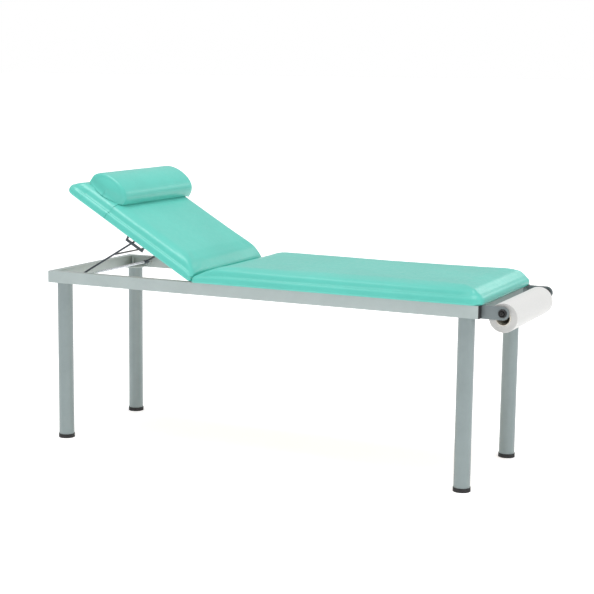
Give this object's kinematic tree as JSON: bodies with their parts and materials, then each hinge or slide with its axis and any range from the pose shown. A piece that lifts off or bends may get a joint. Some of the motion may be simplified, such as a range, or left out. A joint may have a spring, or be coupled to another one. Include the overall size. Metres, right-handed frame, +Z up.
{
  "type": "medical exam table",
  "caption": "Padded exam table on a welded tube frame with round legs, a ratchet backrest, a neck bolster and a paper roll holder.",
  "frame": {"origin": "on the floor, under the middle of the table's whole box with the backrest at its modelled angle", "axes": "+X from the head end to the foot end, +Y to the patient's left, +Z up"},
  "size_m": [1.997, 0.648, 1.1123],
  "materials": {
    "frame_paint": "satin",
    "holder_paint": "satin",
    "black_paint": "satin",
    "black_plastic": "satin",
    "black_rubber": "matte",
    "bright_steel": "gloss",
    "zinc_steel": "satin",
    "plywood": "matte",
    "green_vinyl": "satin",
    "cardboard": "matte",
    "paper": "matte"
  },
  "bodies": {
    "frame": {"rail_right": "frame_paint", "rail_left": "frame_paint", "cross_rail_head": "frame_paint", "cross_rail_foot": "frame_paint", "cross_rail_middle": "frame_paint", "end_cap_right": "black_plastic", "end_cap_left": "black_plastic", "corner_plate_head_right": "frame_paint", "corner_plate_head_left": "frame_paint", "corner_plate_foot_right": "frame_paint", "corner_plate_foot_left": "frame_paint", "leg_head_right": "frame_paint", "leg_head_left": "frame_paint", "leg_foot_right": "frame_paint", "leg_foot_left": "frame_paint", "leg_plugs": "zinc_steel", "leg_bolts": "zinc_steel", "foot_cap_head_right": "black_rubber", "foot_cap_head_left": "black_rubber", "foot_cap_foot_right": "black_rubber", "foot_cap_foot_left": "black_rubber", "seat_board": "plywood", "seat_pad": "green_vinyl", "board_tabs": "frame_paint", "board_screws": "zinc_steel", "seat_hinge_leaves": "zinc_steel", "hinge_pins": "zinc_steel", "seat_leaf_screws": "zinc_steel", "pivot_bar": "bright_steel", "pivot_bracket_right": "frame_paint", "pivot_bracket_left": "frame_paint", "holder_arm_right": "holder_paint", "holder_arm_left": "holder_paint", "holder_bolts": "zinc_steel", "holder_rod": "bright_steel", "holder_knob_right": "black_plastic", "holder_knob_left": "black_plastic"},
    "backrest": {"backrest_board": "plywood", "backrest_pad": "green_vinyl", "backrest_hinge_leaves": "zinc_steel", "backrest_leaf_screws": "zinc_steel", "rack_right": "black_paint", "rack_left": "black_paint", "rack_screws": "zinc_steel"},
    "strut": {"strut_leg_right": "black_paint", "strut_leg_left": "black_paint", "strut_spreader": "black_paint", "strut_sleeve_right": "black_paint", "strut_sleeve_left": "black_paint"},
    "bolster": {"neck_bolster": "green_vinyl"},
    "roll": {"roll_core": "cardboard", "paper_roll": "paper"}
  },
  "joints": [
    {"name": "backrest_hinge", "type": "hinge", "parent": "frame", "child": "backrest", "pos_m": [-0.3285, 0, 0.70475], "axis": [0, 1, 0], "range_deg": [-30.2, 1.75]},
    {"name": "strut_pivot", "type": "hinge", "parent": "frame", "child": "strut", "pos_m": [-0.8825, 0, 0.684], "axis": [0, -1, 0], "range_deg": [-42.4, 2.6]},
    {"name": "bolster_slide", "type": "slide", "parent": "backrest", "child": "bolster", "axis": [0.8643, 0, -0.503], "range_m": [-0.02, 0.3]},
    {"name": "roll_spin", "type": "hinge", "parent": "frame", "child": "roll", "pos_m": [0.9435, 0, 0.6633], "axis": [0, 1, 0], "continuous": true}
  ],
  "couplings": [
    {"joint": "strut_pivot", "follows": "backrest_hinge", "ratio": 1.4}
  ]
}
